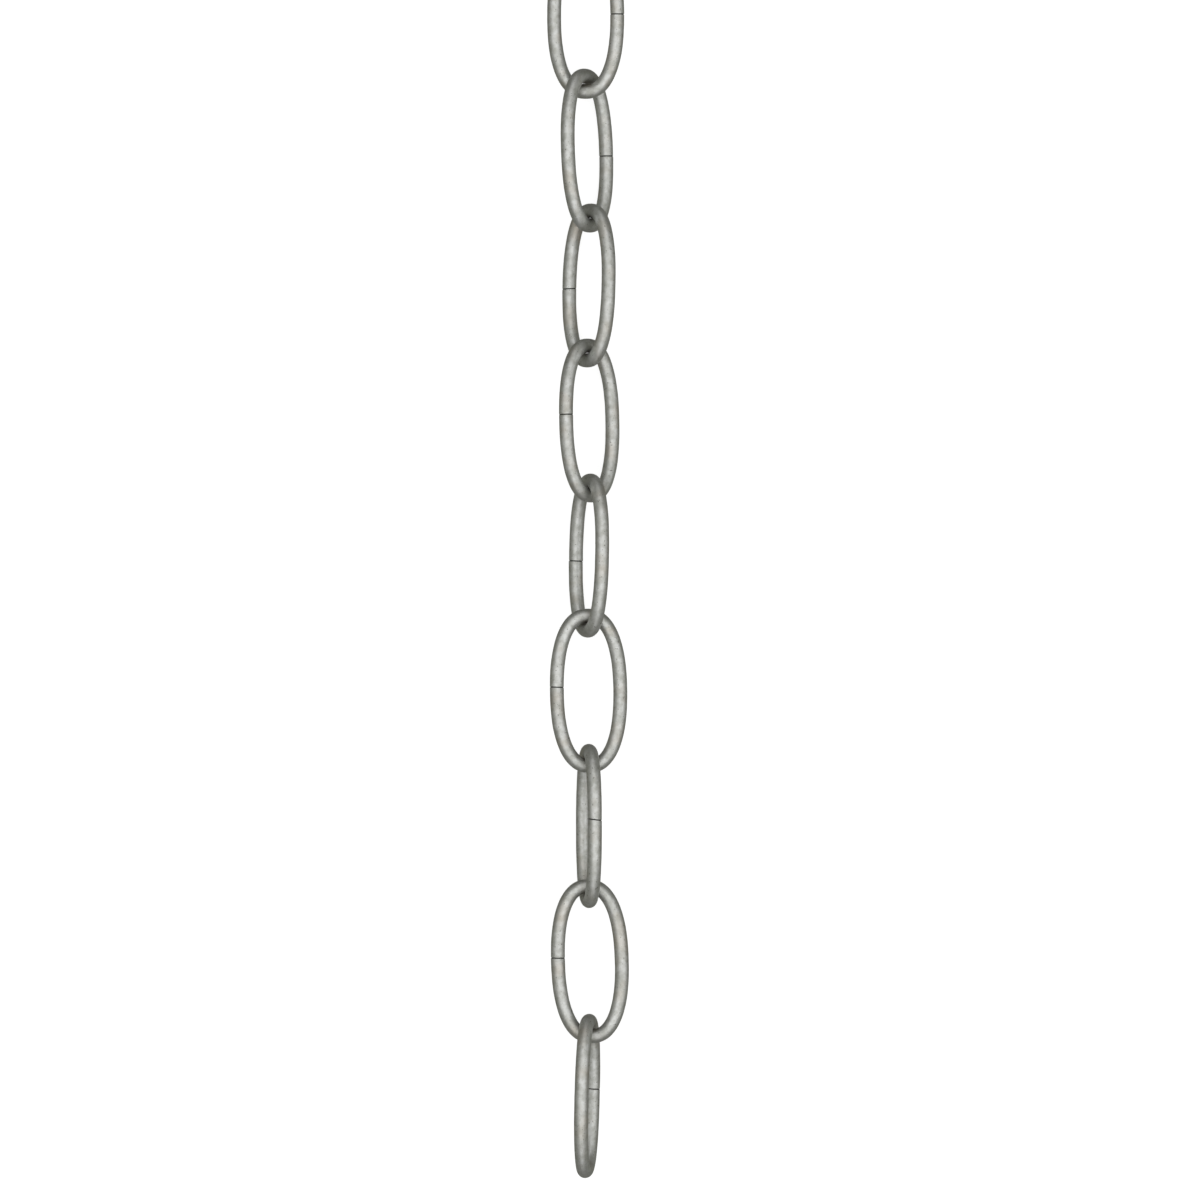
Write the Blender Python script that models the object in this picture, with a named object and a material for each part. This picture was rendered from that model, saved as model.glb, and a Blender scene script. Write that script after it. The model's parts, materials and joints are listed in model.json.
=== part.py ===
"""A foot of oval-link steel chain, pulled out straight and lying on a level floor.

Each link is one round wire bent to an oval, its two cut ends left butting about halfway down
one long side. The chain runs along Y, with the end that it would hang from at +Y. Every link
keeps the roll about the chain's line that it has where the chain hangs. A link that is rolled
far over stands on its lower long side, and one that lies flatter is carried by its neighbours.
"""

import math

import bmesh
import bpy
import numpy as np
from mathutils import Matrix, Vector

MM = 0.001

# The link: its size outside, and the wire that it is bent from
LINK_LENGTH = 38.0 * MM
LINK_WIDTH = 18.0 * MM
WIRE = 3.25 * MM
SEAM_GAP = 0.2 * MM
OVAL_EXPONENT = 2.33

# The least space between the wires of two links where they cross
CROSSING_GAP = 0.2 * MM

# Each link from the top of the chain down: its roll about the chain in degrees, positive with
# its right side up; its lean in plan in degrees, positive with its top to the left; how far its
# middle is to the right of the chain's line; the long side that its seam is in, 1 for the right
# and -1 for the left; and how far the seam is above the link's middle
LINKS = (
    (-75.0, 0.0, -0.6 * MM, -1, 0.0),
    (8.0, 0.0, -0.7 * MM, 1, 0.5 * MM),
    (-53.3, 1.8, -0.35 * MM, 1, -1.1 * MM),
    (52.0, -1.2, 0.15 * MM, -1, -0.65 * MM),
    (-43.6, 1.1, 0.25 * MM, -1, 1.2 * MM),
    (65.7, -1.0, 0.15 * MM, -1, -1.3 * MM),
    (-6.0, 0.7, 0.1 * MM, -1, 0.9 * MM),
    (79.1, 0.0, 0.1 * MM, 1, 1.7 * MM),
    (0.0, 1.6, 0.4 * MM, -1, 0.95 * MM),
    (-79.8, -1.3, -0.3 * MM, 1, 1.2 * MM),
)

# How finely a link is faceted
WIRE_SIDES = 12
STEPS_TO_CROWN = 8
SIDE_BIAS = 1.5
CROWN_POINTS = 181
FITTING_ROUNDS = 40

STEEL_COLOUR = (0.42, 0.42, 0.38, 1.0)
STEEL_ROUGHNESS = 0.42

HALF_LENGTH = (LINK_LENGTH - WIRE) / 2
HALF_WIDTH = (LINK_WIDTH - WIRE) / 2


def oval_point(angle):
    """The point of the wire's centreline where the way out of the oval is at this angle."""
    power = 1 / (OVAL_EXPONENT - 1)
    x = (abs(math.cos(angle)) * HALF_WIDTH**OVAL_EXPONENT) ** power
    y = (abs(math.sin(angle)) * HALF_LENGTH**OVAL_EXPONENT) ** power
    total = (x / HALF_WIDTH) ** OVAL_EXPONENT + (y / HALF_LENGTH) ** OVAL_EXPONENT
    reach = total ** (1 / OVAL_EXPONENT)
    return Vector(
        (math.copysign(x / reach, math.cos(angle)), math.copysign(y / reach, math.sin(angle)), 0)
    )


def side_angle(height):
    """The way out of the oval at this height on its right side."""
    along = (abs(height) / HALF_LENGTH) ** OVAL_EXPONENT
    width = HALF_WIDTH * (1 - along) ** (1 / OVAL_EXPONENT)
    rise = abs(height) ** (OVAL_EXPONENT - 1) / HALF_LENGTH**OVAL_EXPONENT
    run = width ** (OVAL_EXPONENT - 1) / HALF_WIDTH**OVAL_EXPONENT
    return math.copysign(math.atan2(rise, run), height)


def section_angles(seam_height):
    """The ways out at the wire's sections, from the cut end above the seam round to the other."""
    shares = [step / STEPS_TO_CROWN for step in range(1, STEPS_TO_CROWN + 1)]
    quarter = [math.pi / 2 * share**SIDE_BIAS for share in shares]
    upper = quarter + [math.pi - angle for angle in reversed(quarter[:-1])]
    lower = [angle + math.pi for angle in upper]
    upper_end = side_angle(seam_height + SEAM_GAP / 2)
    lower_end = 2 * math.pi + side_angle(seam_height - SEAM_GAP / 2)
    return [upper_end, *upper, *lower, lower_end]


def wire_ring(shape, angle):
    """The wire's section where the way out of the oval is at this angle."""
    centre = oval_point(angle)
    outward = Vector((math.cos(angle), math.sin(angle), 0))
    ring = []
    for side in range(WIRE_SIDES):
        turn = 2 * math.pi * side / WIRE_SIDES
        offset = outward * math.cos(turn) + Vector((0, 0, math.sin(turn)))
        ring.append(shape.verts.new(centre + offset * WIRE / 2))
    return ring


def link_mesh(name, seam_side, seam_height):
    """One link: the wire's section carried round the oval, with a flat cut at each end."""
    shape = bmesh.new()
    rings = [wire_ring(shape, angle) for angle in section_angles(seam_height)]
    for ring, after in zip(rings, rings[1:]):
        for side in range(WIRE_SIDES):
            beside = (side + 1) % WIRE_SIDES
            shape.faces.new((ring[side], ring[beside], after[beside], after[side]))
    shape.faces.new(rings[0])
    shape.faces.new(rings[-1])
    if seam_side < 0:
        bmesh.ops.rotate(shape, verts=shape.verts, matrix=Matrix.Rotation(math.pi, 3, "Y"))
    bmesh.ops.recalc_face_normals(shape, faces=shape.faces)
    mesh = bpy.data.meshes.new(name)
    shape.to_mesh(mesh)
    shape.free()
    mesh.shade_smooth()
    mesh.set_sharp_from_angle(angle=math.radians(40))
    return mesh


def link_turn(roll, lean, slope):
    """The rotation of a link that rolls about the chain, slopes up along it and leans in plan."""
    turn = Matrix.Rotation(slope, 4, "X") @ Matrix.Rotation(-math.radians(roll), 4, "Y")
    return Matrix.Rotation(math.radians(lean), 4, "Z") @ turn


def resting_poses(meshes):
    """Each link's rotation and its middle's height, stood on the floor or carried by two others.

    A link stands level on its lowest point, unless the links at its two ends stand higher. Then
    it lies from one of them to the other.
    """
    poses = []
    for (roll, lean, *_), mesh in zip(LINKS, meshes):
        turn = link_turn(roll, lean, 0.0)
        poses.append((turn, -min((turn @ v.co).z for v in mesh.vertices)))
    stood = [height for _, height in poses]
    for index, (above, below) in enumerate(zip(stood, stood[2:]), start=1):
        roll, lean = LINKS[index][:2]
        if (above + below) / 2 > stood[index]:
            slope = math.asin((above - below) / (2 * HALF_LENGTH))
            poses[index] = (link_turn(roll, lean, slope), (above + below) / 2)
    return poses


def crown_points(place, end):
    """Points along the centreline of a link's upper crown (end 1) or lower crown (end -1)."""
    angles = np.linspace(0, math.pi * end, CROWN_POINTS)
    return np.array([place @ oval_point(angle) for angle in angles])


def wire_clearance(above, below):
    """The space between two links' wires where the lower crown of one holds the other's upper."""
    apart = crown_points(above, -1)[:, None] - crown_points(below, 1)[None]
    return np.linalg.norm(apart, axis=2).min() - WIRE


def place_links(meshes):
    """Where each link is, worked down the chain from crossing to crossing."""
    places = []
    for (_, _, aside, _, _), (turn, height) in zip(LINKS, resting_poses(meshes)):
        if not places:
            places.append(Matrix.Translation((aside, 0, height)) @ turn)
            continue
        nearest = places[-1].translation.y - LINK_LENGTH + 2 * WIRE
        slack, tight = nearest + WIRE, nearest
        for _ in range(FITTING_ROUNDS):
            middle = (slack + tight) / 2
            place = Matrix.Translation((aside, middle, height)) @ turn
            if wire_clearance(places[-1], place) > CROSSING_GAP:
                slack = middle
            else:
                tight = middle
        places.append(Matrix.Translation((aside, slack, height)) @ turn)
    corners = np.array([place @ v.co for place, mesh in zip(places, meshes) for v in mesh.vertices])
    middle = (corners.min(0) + corners.max(0)) / 2
    return [Matrix.Translation((-middle[0], -middle[1], 0)) @ place for place in places]


def hinge_place(above, below):
    """The upright axis on which a link swings sideways along the floor from the one above it.

    The crown that stands steeper is the pin, so the axis is nearer to the middle of its wire.
    """
    crowns = [above @ Vector((0, -HALF_LENGTH, 0)), below @ Vector((0, HALF_LENGTH, 0))]
    steepness = [(place.to_3x3() @ Vector((1, 0, 0))).z ** 4 for place in (above, below)]
    return Matrix.Translation(crowns[0].lerp(crowns[1], steepness[1] / sum(steepness)))


def steel_material():
    """Dull grey galvanised steel."""
    material = bpy.data.materials.new("galvanised_steel")
    material.use_nodes = True
    surface = material.node_tree.nodes["Principled BSDF"]
    surface.inputs["Base Color"].default_value = STEEL_COLOUR
    surface.inputs["Metallic"].default_value = 1.0
    surface.inputs["Roughness"].default_value = STEEL_ROUGHNESS
    return material


def main():
    for thing in list(bpy.data.objects):
        bpy.data.objects.remove(thing, do_unlink=True)
    steel = steel_material()
    names = [f"link_{number:02d}" for number in range(1, len(LINKS) + 1)]
    meshes = [link_mesh(name, side, height) for name, (*_, side, height) in zip(names, LINKS)]
    places = place_links(meshes)
    above = None
    for index, (name, mesh, place) in enumerate(zip(names, meshes, places)):
        mesh.materials.append(steel)
        link = bpy.data.objects.new(name, mesh)
        bpy.context.scene.collection.objects.link(link)
        if above is None:
            link.matrix_basis = place
        else:
            axis = hinge_place(places[index - 1], place)
            hinge = bpy.data.objects.new(f"hinge_{index + 1:02d}", None)
            hinge.empty_display_size = WIRE
            bpy.context.scene.collection.objects.link(hinge)
            hinge.parent = above
            hinge.matrix_basis = places[index - 1].inverted() @ axis
            link.parent = hinge
            link.matrix_basis = axis.inverted() @ place
        above = link


main()
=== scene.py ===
"""Looks for a foot of oval-link steel chain: dull galvanised wire, bent to links and left unwelded.

Every link of the solid model is replaced by a finer one of the same size in the same place. It
has round wire, a closed butt seam with rounded lips, small dents and a mottled zinc surface.
"""

import json
import math

import bpy
import numpy as np
from mathutils import Matrix, Vector, noise


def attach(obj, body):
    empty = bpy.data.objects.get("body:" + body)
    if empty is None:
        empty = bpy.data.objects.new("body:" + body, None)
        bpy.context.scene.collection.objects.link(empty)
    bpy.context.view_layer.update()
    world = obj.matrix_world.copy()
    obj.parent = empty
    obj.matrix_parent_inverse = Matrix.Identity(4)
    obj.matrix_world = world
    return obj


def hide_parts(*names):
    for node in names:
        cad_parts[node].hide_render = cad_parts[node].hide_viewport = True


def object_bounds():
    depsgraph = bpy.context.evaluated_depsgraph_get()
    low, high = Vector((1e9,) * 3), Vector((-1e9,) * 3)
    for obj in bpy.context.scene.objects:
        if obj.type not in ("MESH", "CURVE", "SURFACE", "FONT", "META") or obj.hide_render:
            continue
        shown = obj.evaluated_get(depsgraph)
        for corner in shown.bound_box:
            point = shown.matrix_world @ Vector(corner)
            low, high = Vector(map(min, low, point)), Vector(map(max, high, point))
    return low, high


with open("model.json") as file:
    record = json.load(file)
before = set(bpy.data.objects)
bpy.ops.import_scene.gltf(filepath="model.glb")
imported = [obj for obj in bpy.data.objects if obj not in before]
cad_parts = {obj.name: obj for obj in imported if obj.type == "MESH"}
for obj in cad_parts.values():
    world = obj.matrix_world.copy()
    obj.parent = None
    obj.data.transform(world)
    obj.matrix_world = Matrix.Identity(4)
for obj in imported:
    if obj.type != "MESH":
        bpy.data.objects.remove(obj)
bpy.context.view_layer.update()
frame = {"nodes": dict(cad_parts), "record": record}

MM = 0.001

# The link, as the solid model has it
LINK_LENGTH = 38.0 * MM
LINK_WIDTH = 18.0 * MM
WIRE = 3.25 * MM
OVAL_EXPONENT = 2.33
HALF_LENGTH = (LINK_LENGTH - WIRE) / 2
HALF_WIDTH = (LINK_WIDTH - WIRE) / 2

# How closely the finer wire is divided
WIRE_SIDES = 36
RING_SPACING = 0.4 * MM
OVAL_STEPS = 4001
SHARP_ANGLE = math.radians(40)

# Dents and tool marks in the wire, as depth and size
DENTS = ((0.03 * MM, 4.0 * MM), (0.012 * MM, 1.2 * MM))

# The solid model's cut faces: how squarely they face along the link, at least, and how far they
# are from its middle, at most, as a share of its length
CUT_FACING = 0.98
CUT_REACH = 0.15

# The butt seam: the space left in it, the rounded lip on each cut end, and where the lip has its
# sections, as shares of its length
BUTT_GAP = 0.02 * MM
LIP_LENGTH = 0.17 * MM
LIP_DEPTH = 0.2 * MM
LIP_SHARES = (0.0, 0.3, 0.65, 1.0)

# How each seam is cut and closed, by link: the slope of the cut in degrees, up to the right; and
# how far the wire below the seam stands out to the left of the wire above it. Both fade out
# along the wire, over the blend
SEAMS = {
    "link_01": (2.0, 0.04 * MM),
    "link_02": (0.0, 0.03 * MM),
    "link_03": (0.0, -0.03 * MM),
    "link_04": (4.0, 0.02 * MM),
    "link_05": (1.0, -0.02 * MM),
    "link_06": (-2.0, 0.1 * MM),
    "link_07": (-2.0, 0.0),
    "link_08": (-7.0, -0.02 * MM),
    "link_09": (-2.0, 0.03 * MM),
    "link_10": (-3.0, 0.0),
}
SEAM_BLEND = 3.0 * MM

# The inside of the crown, where the next link bears, is darkened as worn metal and as painted
# shade between the links: how far along the wire it is darkened, how steeply that fades along the
# wire and round it, and how much of it the wire's outside has
CROWN_REACH = math.radians(35)
CROWN_FADE = 2.0
INWARD_FADE = 1.5
LEAST_DARKENING = 0.2

# The small spot there where both wires stand out to meet: how far it goes along the wire and how
# steeply it fades, where it is full and where it ends round the wire, and by how much the swing
# of each crossing lets it stand out. A crossing goes by its lower link
SPOT_REACH = math.radians(16)
SPOT_FADE = 1.6
SPOT_FULL = math.radians(8)
SPOT_END = math.radians(22)
SPOT_SWELLS = {
    "link_02": 0.085 * MM,
    "link_03": 0.226 * MM,
    "link_04": 0.09 * MM,
    "link_05": 0.068 * MM,
    "link_06": 0.078 * MM,
    "link_07": 0.088 * MM,
    "link_08": 0.09 * MM,
    "link_09": 0.09 * MM,
    "link_10": 0.15 * MM,
}

# Zinc colours, linear
ZINC_LIGHT = (0.645, 0.65, 0.645, 1.0)
ZINC_DARK = (0.48, 0.485, 0.46, 1.0)
ZINC_STAIN = (0.51, 0.462, 0.4, 1.0)
PIT_COLOUR = (0.16, 0.16, 0.14, 1.0)
# Painted shade between the links, with some wear, where the next link bears on the crown
WEAR_AND_SHADE_COLOUR = (0.285, 0.268, 0.235, 1.0)
# Painted shade with some dirt: the seam's groove is made nearly black
SEAM_SHADE_AND_DIRT_COLOUR = (0.02, 0.02, 0.018, 1.0)

# The zinc's patterns: the size of their features, and how much finer detail they have and how
# strong it is. The streaks are drawn out along the wire by their scale
MOTTLE = (1.6 * MM, 5.0, 0.62)
PATCHES = (6.0 * MM, 2.0, 0.5)
STREAKS = (0.7 * MM, 3.0, 0.6)
GRAIN = (0.22 * MM, 3.0, 0.6)
PITS = (0.45 * MM, 2.0, 0.5)
STREAK_SCALE = (1, 1, 0.12)

# The stretch of each pattern, and of the seam's groove, over which its colour comes in
MOTTLE_RANGE = (0.36, 0.62)
STREAK_RANGE = (0.5, 1.0)
PATCH_RANGE = (0.52, 0.9)
PIT_RANGE = (0.66, 0.74)
SEAM_RANGE = (0.0, 0.5)

# The zinc's roughness, from the dark to the light end of this stretch of the mottle
DULL_RANGE = (0.3, 0.7)
ROUGHNESS = (0.55, 0.43)

# The zinc's bumps, as strength and height
COARSE_BUMP = (0.3, 0.05 * MM)
FINE_BUMP = (0.4, 0.02 * MM)

# A colour mixing node's sockets by number, as they share their names with others: the share and
# the two colours among its inputs, and the mixed colour among its outputs
MIX_INPUTS = (0, 6, 7)
MIX_RESULT = 2

# The photograph's view, straight down on the chain
IMAGE_MIDDLE = Vector((2.73 * MM, -25.8 * MM, 8.0 * MM))
IMAGE_WIDTH = 277.9 * MM
CAMERA_DISTANCE = 1.6
SENSOR = 36.0

FLOOR_SIZE = 40.0
FLOOR_COLOUR = (0.3, 0.3, 0.3, 1.0)
FLOOR_GLOW = (0.87, 0.87, 0.87, 1.0)

# The soft lights: place, width and depth in metres, and power in watts
LIGHTS = {
    "overhead_light": ((0.1, -0.11, 2.0), 3.4, 3.8, 42.3),
    "left_light": ((-1.95, 0.0, 1.05), 1.4, 1.6, 2.3),
    "right_light": ((1.95, 0.0, 1.05), 1.4, 1.6, 4.7),
    "upper_end_light": ((0.0, 1.95, 1.05), 1.6, 1.4, 2.4),
    "lower_end_light": ((0.0, -1.95, 1.05), 1.6, 1.4, 1.7),
}

# The room's shade, from beyond the chain's lower end, past its two sides, to beyond its upper end
ROOM_SHADES = (
    (0.0, (0.215, 0.215, 0.198, 1.0)),
    (0.5, (0.22, 0.225, 0.193, 1.0)),
    (1.0, (0.165, 0.165, 0.15, 1.0)),
)


def oval_points(angles):
    """The centreline's points where the way out of the oval is at these angles."""
    power = 1 / (OVAL_EXPONENT - 1)
    x = (np.abs(np.cos(angles)) * HALF_WIDTH**OVAL_EXPONENT) ** power
    y = (np.abs(np.sin(angles)) * HALF_LENGTH**OVAL_EXPONENT) ** power
    total = (x / HALF_WIDTH) ** OVAL_EXPONENT + (y / HALF_LENGTH) ** OVAL_EXPONENT
    reach = total ** (1 / OVAL_EXPONENT)
    x = np.copysign(x, np.cos(angles)) / reach
    y = np.copysign(y, np.sin(angles)) / reach
    return np.stack((x, y, np.zeros_like(x)), 1)


def ring_angles(seam_height):
    """The ways out at the wire's sections, from the cut end above the seam round to the other.

    It also gives how far along the wire each section is.
    """
    angles = np.linspace(-math.pi / 2, 5 * math.pi / 2, OVAL_STEPS)
    points = oval_points(angles)
    run = np.concatenate(([0], np.cumsum(np.linalg.norm(np.diff(points, axis=0), axis=1))))
    right_side = angles < math.pi / 2
    first = np.interp(seam_height, points[right_side, 1], run[right_side]) + BUTT_GAP / 2
    around = run[np.searchsorted(angles, 3 * math.pi / 2)]
    wire_length = around - BUTT_GAP
    lip = np.array(LIP_SHARES) * LIP_LENGTH
    count = round(wire_length / RING_SPACING)
    between = np.linspace(RING_SPACING, wire_length - RING_SPACING, count - 1)
    along = np.concatenate((lip, between, wire_length - lip[::-1]))
    return np.interp(first + along, run, angles), along


def link_place(node):
    """The place of a solid link: its ways across, along and out of its plane, and its middle."""
    faces = node.data.polygons
    areas = np.array([face.area for face in faces])
    centres = np.array([face.center for face in faces])
    apart = centres - areas @ centres / areas.sum()
    _, axes = np.linalg.eigh((apart * areas[:, None]).T @ apart)
    along = Vector(axes[:, 2])
    along *= math.copysign(1, along.y)
    across = Vector(axes[:, 1])
    across *= math.copysign(1, across.x)
    turn = Matrix((across, along, across.cross(along))).transposed()
    corners = np.array([vertex.co for vertex in node.data.vertices]) @ np.array(turn)
    middle = turn @ Vector((corners.min(0) + corners.max(0)) / 2)
    return Matrix.Translation(middle) @ turn.to_4x4()


def seam_of(node, place):
    """The side, 1 or -1, and the height of a solid link's seam, from its two cut faces."""
    into = place.inverted()
    facing = place.to_3x3().col[1]
    cuts = []
    for face in node.data.polygons:
        spot = into @ face.center
        if abs(face.normal @ facing) > CUT_FACING and abs(spot.y) < CUT_REACH * LINK_LENGTH:
            cuts.append(spot)
    middle = sum(cuts, Vector()) / len(cuts)
    return math.copysign(1, middle.x), middle.y


def dent(point):
    """How far the wire's surface stands out at a point, from its dents and tool marks."""
    return sum(depth * noise.noise(point / size) for depth, size in DENTS)


def fading(distance, reach, steepness=1.0):
    """1 near by and 0 from the reach on. The steeper it fades, the longer it stays 1."""
    return np.clip(steepness - steepness * distance / reach, 0, 1)


def crown_bearing(angles, turns, swells):
    """How far the next links darken the wire, as worn metal and as painted shade, and how far it
    stands out to meet them.

    The swells are those of the upper and the lower crown, and are 0 where no link bears.
    """
    from_crown = np.abs(np.abs(np.arctan2(np.sin(angles), np.cos(angles))) - math.pi / 2)[:, None]
    inward = -np.cos(turns)
    swell = np.where(np.sin(angles) > 0, *swells)[:, None]
    darkened = np.clip(INWARD_FADE * inward - (INWARD_FADE - 1), LEAST_DARKENING, 1)
    wear_and_shade = np.sign(swell) * fading(from_crown, CROWN_REACH, CROWN_FADE) * darkened
    spot_full, spot_end = math.cos(SPOT_FULL), math.cos(SPOT_END)
    spot = np.clip((inward - spot_end) / (spot_full - spot_end), 0, 1)
    return wear_and_shade, swell * (fading(from_crown, SPOT_REACH, SPOT_FADE) * spot)


def ways_out(angles, turns):
    """The ways out of the wire all round each of its sections, for a link that lies flat."""
    outward = np.stack((np.cos(angles), np.sin(angles), np.zeros_like(angles)), 1)
    upward = np.array((0, 0, 1))
    return outward[:, None] * np.cos(turns)[None, :, None] + upward * np.sin(turns)[None, :, None]


def wire_mesh(name, points):
    """A closed mesh with its points in sections along the wire."""
    number = np.arange(points[..., 0].size).reshape(points.shape[:2])
    beside = np.roll(number, -1, axis=1)
    sides = np.stack((number[:-1], beside[:-1], beside[1:], number[1:]), 2).reshape(-1, 4)
    faces = [*sides.tolist(), number[0, ::-1].tolist(), number[-1].tolist()]
    mesh = bpy.data.meshes.new(name)
    mesh.from_pydata(points.reshape(-1, 3).tolist(), [], faces)
    mesh.shade_smooth()
    mesh.set_sharp_from_angle(angle=SHARP_ANGLE)
    return mesh


def add_attribute(mesh, name, kind, field, values):
    """Give the mesh's points values that its material reads."""
    attribute = mesh.attributes.new(name, kind, "POINT")
    attribute.data.foreach_set(field, values.astype(np.float32).ravel())


def fine_link(name, place, seam_side, seam_height, cut_slope, step, swells):
    """A link's wire, round and dented, with the attributes that its material reads.

    wire_space is the place on the wire if it were straight, the bearing attribute is 1 where the
    next link bears on it and the zinc is darkened as worn metal and as painted shade, and seam is 1
    in the groove between the cut ends.
    """
    angles, along = ring_angles(seam_height)
    turns = np.arange(WIRE_SIDES) * 2 * math.pi / WIRE_SIDES
    wear_and_shade, swell = crown_bearing(angles, turns, swells)
    from_cut = np.minimum(along, along[-1] - along)[:, None]
    seam = fading(from_cut, LIP_LENGTH) ** 2

    turn = np.array(place)[:3, :3] * np.array((seam_side, 1, seam_side))
    middle = np.array(place)[:3, 3]
    ways = ways_out(angles, turns) @ turn.T
    centres = (oval_points(angles) @ turn.T + middle)[:, None]
    surface = (centres + ways * WIRE / 2).reshape(-1, 3)
    dents = np.array([dent(Vector(point)) for point in surface]).reshape(wear_and_shade.shape)
    radius = WIRE / 2 + dents * (1 - wear_and_shade) + swell - LIP_DEPTH * seam
    points = centres + ways * radius[..., None]

    seam_share = fading(from_cut, SEAM_BLEND) ** 2
    above = np.where(np.arange(len(along)) < len(along) / 2, 1, -1)[:, None]
    points += turn[:, 1] * (math.tan(cut_slope) * ways[..., 0] * WIRE / 2 * seam_share)[..., None]
    points[..., 0] += step / 2 * above * seam_share

    straight = np.empty_like(points)
    straight[..., 0] = np.cos(turns) * WIRE / 2
    straight[..., 1] = np.sin(turns) * WIRE / 2
    straight[..., 2] = along[:, None]
    mesh = wire_mesh(name, points)
    add_attribute(mesh, "wire_space", "FLOAT_VECTOR", "vector", straight)
    add_attribute(mesh, "wear_and_shade", "FLOAT", "value", wear_and_shade)
    add_attribute(mesh, "seam", "FLOAT", "value", np.broadcast_to(seam, wear_and_shade.shape))
    return mesh


def feed(tree, socket, value):
    """Set a shader's socket to a value, or link it where the value is a socket itself."""
    if isinstance(value, bpy.types.NodeSocket):
        tree.links.new(value, socket)
    else:
        socket.default_value = value


def add_node(tree, kind, **inputs):
    """A shader node with its inputs set or linked."""
    node = tree.nodes.new(kind)
    for name, value in inputs.items():
        feed(tree, node.inputs[name.replace("_", " ")], value)
    return node


def read_attribute(tree, name):
    """The node that reads one of the wire's attributes."""
    node = tree.nodes.new("ShaderNodeAttribute")
    node.attribute_name = name
    return node


def noise_at(tree, vector, size, detail, roughness):
    """Noise with features of about this size, from 0 to 1."""
    inputs = {"Scale": 1 / size, "Detail": detail, "Roughness": roughness}
    return add_node(tree, "ShaderNodeTexNoise", Vector=vector, **inputs).outputs["Fac"]


def ramp(tree, value, low, high, start=0.0, end=1.0):
    """The value stretched so that low becomes the start and high becomes the end."""
    limits = {"From_Min": low, "From_Max": high, "To_Min": start, "To_Max": end}
    return add_node(tree, "ShaderNodeMapRange", Value=value, **limits).outputs["Result"]


def mixed(tree, share, first, second):
    """Two colours mixed."""
    node = tree.nodes.new("ShaderNodeMix")
    node.data_type = "RGBA"
    for number, value in zip(MIX_INPUTS, (share, first, second)):
        feed(tree, node.inputs[number], value)
    return node.outputs[MIX_RESULT]


def bumped(tree, height, strength, distance, **before):
    """The surface's normals with a bump put on them."""
    sizes = {"Strength": strength, "Distance": distance}
    return add_node(tree, "ShaderNodeBump", Height=height, **sizes, **before).outputs["Normal"]


def galvanised_steel():
    """Dull zinc: soft light and dark mottling, faint streaks along the wire, stains and pits."""
    material = bpy.data.materials.new("galvanised_steel")
    material.use_nodes = True
    tree = material.node_tree
    surface = tree.nodes["Principled BSDF"]
    place = tree.nodes.new("ShaderNodeTexCoord").outputs["Object"]
    wire = read_attribute(tree, "wire_space").outputs["Vector"]
    wear_and_shade = read_attribute(tree, "wear_and_shade").outputs["Fac"]
    seam = read_attribute(tree, "seam").outputs["Fac"]
    stretched = add_node(tree, "ShaderNodeMapping", Vector=wire, Scale=STREAK_SCALE)

    mottle = noise_at(tree, place, *MOTTLE)
    patches = noise_at(tree, place, *PATCHES)
    streaks = noise_at(tree, stretched.outputs["Vector"], *STREAKS)
    grain = noise_at(tree, place, *GRAIN)
    pits = noise_at(tree, place, *PITS)

    zinc = mixed(tree, ramp(tree, mottle, *MOTTLE_RANGE), ZINC_DARK, ZINC_LIGHT)
    zinc = mixed(tree, ramp(tree, streaks, *STREAK_RANGE), zinc, ZINC_DARK)
    zinc = mixed(tree, ramp(tree, patches, *PATCH_RANGE), zinc, ZINC_STAIN)
    zinc = mixed(tree, ramp(tree, pits, *PIT_RANGE), zinc, PIT_COLOUR)
    # Painted shade between the links, with some wear: the crowns darkened where the next links bear
    zinc = mixed(tree, wear_and_shade, zinc, WEAR_AND_SHADE_COLOUR)
    # Painted shade with some dirt: the seam's groove made nearly black
    zinc = mixed(tree, ramp(tree, seam, *SEAM_RANGE), zinc, SEAM_SHADE_AND_DIRT_COLOUR)
    tree.links.new(zinc, surface.inputs["Base Color"])

    dull = ramp(tree, mottle, *DULL_RANGE, *ROUGHNESS)
    tree.links.new(dull, surface.inputs["Roughness"])

    coarse = bumped(tree, mottle, *COARSE_BUMP)
    fine = bumped(tree, grain, *FINE_BUMP, Normal=coarse)
    tree.links.new(fine, surface.inputs["Normal"])
    surface.inputs["Metallic"].default_value = 1.0
    return material


def pale_floor(height):
    """A plain pale floor that the steel neither mirrors nor is lit by."""
    half = FLOOR_SIZE / 2
    mesh = bpy.data.meshes.new("floor")
    corners = [(x * half, y * half, height) for x, y in ((-1, -1), (1, -1), (1, 1), (-1, 1))]
    mesh.from_pydata(corners, [], [(0, 1, 2, 3)])
    material = bpy.data.materials.new("pale_floor")
    material.use_nodes = True
    surface = material.node_tree.nodes["Principled BSDF"]
    surface.inputs["Base Color"].default_value = FLOOR_COLOUR
    surface.inputs["Roughness"].default_value = 1.0
    surface.inputs["Specular IOR Level"].default_value = 0.0
    surface.inputs["Emission Color"].default_value = FLOOR_GLOW
    surface.inputs["Emission Strength"].default_value = 1.0
    mesh.materials.append(material)
    floor = bpy.data.objects.new("floor", mesh)
    bpy.context.scene.collection.objects.link(floor)
    floor.visible_glossy = False
    floor.visible_diffuse = False


def soft_light(name, place, width, depth, power):
    """A rectangular soft light that faces the chain's middle, its width across the chain."""
    data = bpy.data.lights.new(name, "AREA")
    data.shape = "RECTANGLE"
    data.size = width
    data.size_y = depth
    data.energy = power
    light = bpy.data.objects.new(name, data)
    bpy.context.scene.collection.objects.link(light)
    light.location = place
    light.rotation_euler = (-Vector(place)).to_track_quat("-Z", "Y").to_euler()


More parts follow.
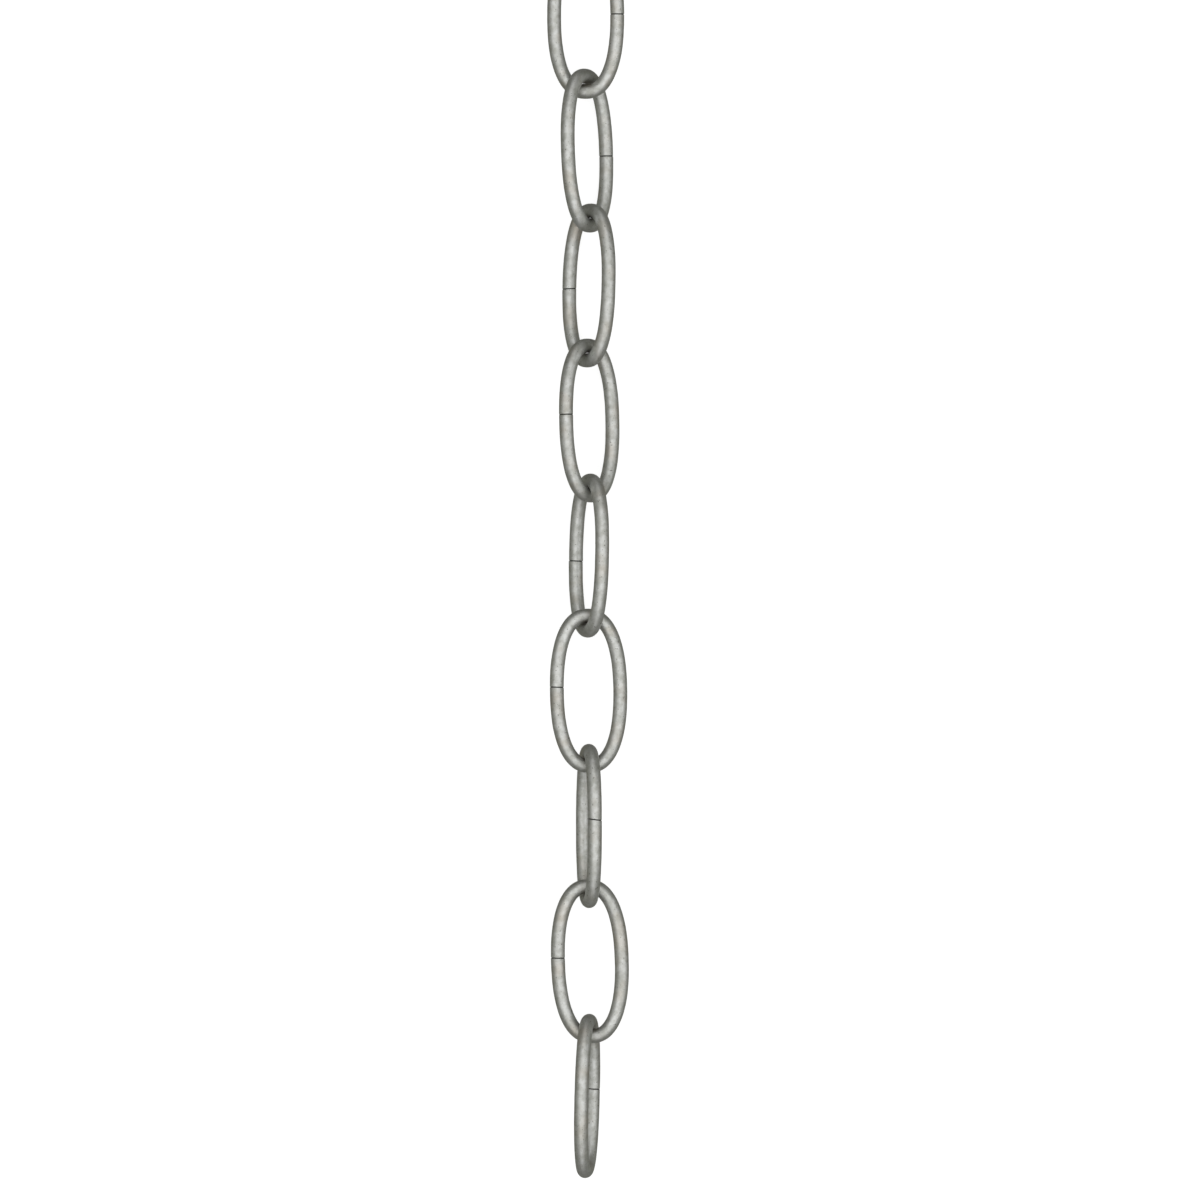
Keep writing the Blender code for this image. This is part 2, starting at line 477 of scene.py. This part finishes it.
def room():
    """A plain room that is paler beside the chain than beyond its two ends."""
    world = bpy.data.worlds.new("room")
    world.use_nodes = True
    tree = world.node_tree
    way = tree.nodes.new("ShaderNodeTexCoord").outputs["Generated"]
    along = add_node(tree, "ShaderNodeSeparateXYZ", Vector=way).outputs["Y"]
    shades = add_node(tree, "ShaderNodeValToRGB", Fac=ramp(tree, along, -1.0, 1.0))
    shades.color_ramp.interpolation = "EASE"
    shades.color_ramp.elements.new(ROOM_SHADES[1][0])
    for element, (position, shade) in zip(shades.color_ramp.elements, ROOM_SHADES):
        element.position = position
        element.color = shade
    tree.links.new(shades.outputs["Color"], tree.nodes["Background"].inputs["Color"])
    bpy.context.scene.world = world


def studio():
    """A soft light above the chain, dimmer ones beside it and beyond its two ends, and the room."""
    for name, (place, width, depth, power) in LIGHTS.items():
        soft_light(name, place, width, depth, power)
    room()
    bpy.context.scene.view_settings.view_transform = "Standard"


def camera_above():
    """A long lens straight above the chain, with its hanging end at the top of the picture."""
    data = bpy.data.cameras.new("camera")
    data.sensor_width = SENSOR
    data.lens = SENSOR * CAMERA_DISTANCE / IMAGE_WIDTH
    camera = bpy.data.objects.new("camera", data)
    bpy.context.scene.collection.objects.link(camera)
    camera.location = IMAGE_MIDDLE + Vector((0, 0, CAMERA_DISTANCE))
    bpy.context.scene.camera = camera


def dress_links():
    """Replace every solid link by its finer one."""
    steel = galvanised_steel()
    for body, nodes in frame["record"]["behaviour"]["bodies"].items():
        for node_name in nodes:
            node = frame["nodes"][node_name]
            place = link_place(node)
            side, height = seam_of(node, place)
            cut_slope, step = SEAMS[node_name]
            next_name = f"link_{int(node_name[-2:]) + 1:02d}"
            swells = (SPOT_SWELLS.get(node_name, 0.0), SPOT_SWELLS.get(next_name, 0.0))
            wire_name = f"{node_name}_wire"
            mesh = fine_link(wire_name, place, side, height, math.radians(cut_slope), step, swells)
            mesh.materials.append(steel)
            link = bpy.data.objects.new(wire_name, mesh)
            bpy.context.scene.collection.objects.link(link)
            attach(link, body)
            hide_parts(node_name)


camera_above()
dress_links()
visual_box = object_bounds()
pale_floor(visual_box[0].z)
studio()
